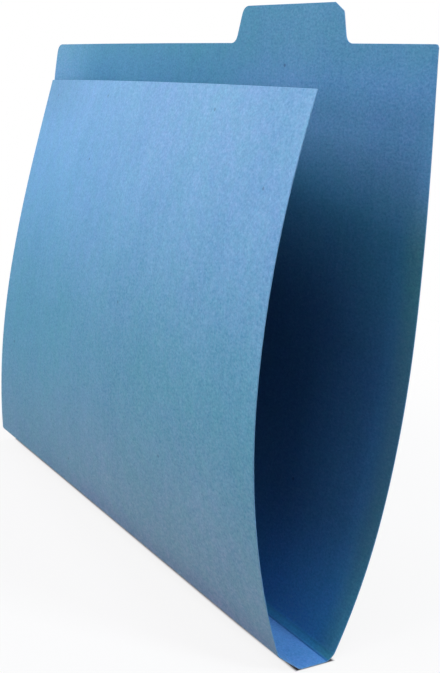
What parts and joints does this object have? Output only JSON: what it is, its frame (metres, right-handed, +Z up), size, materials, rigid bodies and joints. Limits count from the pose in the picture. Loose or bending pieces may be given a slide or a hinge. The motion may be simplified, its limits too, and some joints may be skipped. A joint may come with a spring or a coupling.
{
  "type": "file folder",
  "caption": "Blue card file folder, standing half open on a squared-off bottom: short front leaf, taller back leaf with an index tab, scored creases between.",
  "frame": {"origin": "centre of the floor strip's underside, where the folder stands", "axes": "+X along the creases to the wide open end, +Y from the front leaf to the back leaf, +Z up"},
  "size_m": [0.298, 0.0696, 0.2479],
  "materials": {
    "card": "matt, fine fibres"
  },
  "bodies": {
    "base": {"floor_strip": "card", "front_floor_crease": "card", "back_floor_crease": "card"},
    "front_gusset": {"front_gusset_strip": "card", "front_leaf_crease": "card"},
    "front_leaf": {"front_leaf": "card"},
    "back_gusset": {"back_gusset_strip": "card", "back_leaf_crease": "card"},
    "back_leaf": {"back_leaf_with_tab": "card"}
  },
  "joints": [
    {"name": "front_gusset_fold", "type": "hinge", "parent": "base", "child": "front_gusset", "pos_m": [0, -0.0064, 0.00045], "axis": [1, 0, 0], "range_deg": [0, 37]},
    {"name": "front_leaf_fold", "type": "hinge", "parent": "front_gusset", "child": "front_leaf", "pos_m": [0, -0.01654, 0.00809], "axis": [1, 0, 0], "range_deg": [0, 32]},
    {"name": "back_gusset_fold", "type": "hinge", "parent": "base", "child": "back_gusset", "pos_m": [0, 0.0064, 0.00045], "axis": [-1, 0, 0], "range_deg": [0, 37.5]},
    {"name": "back_leaf_fold", "type": "hinge", "parent": "back_gusset", "child": "back_leaf", "pos_m": [0, 0.0091, 0.00252], "axis": [-1, 0, 0], "range_deg": [0, 27]}
  ]
}
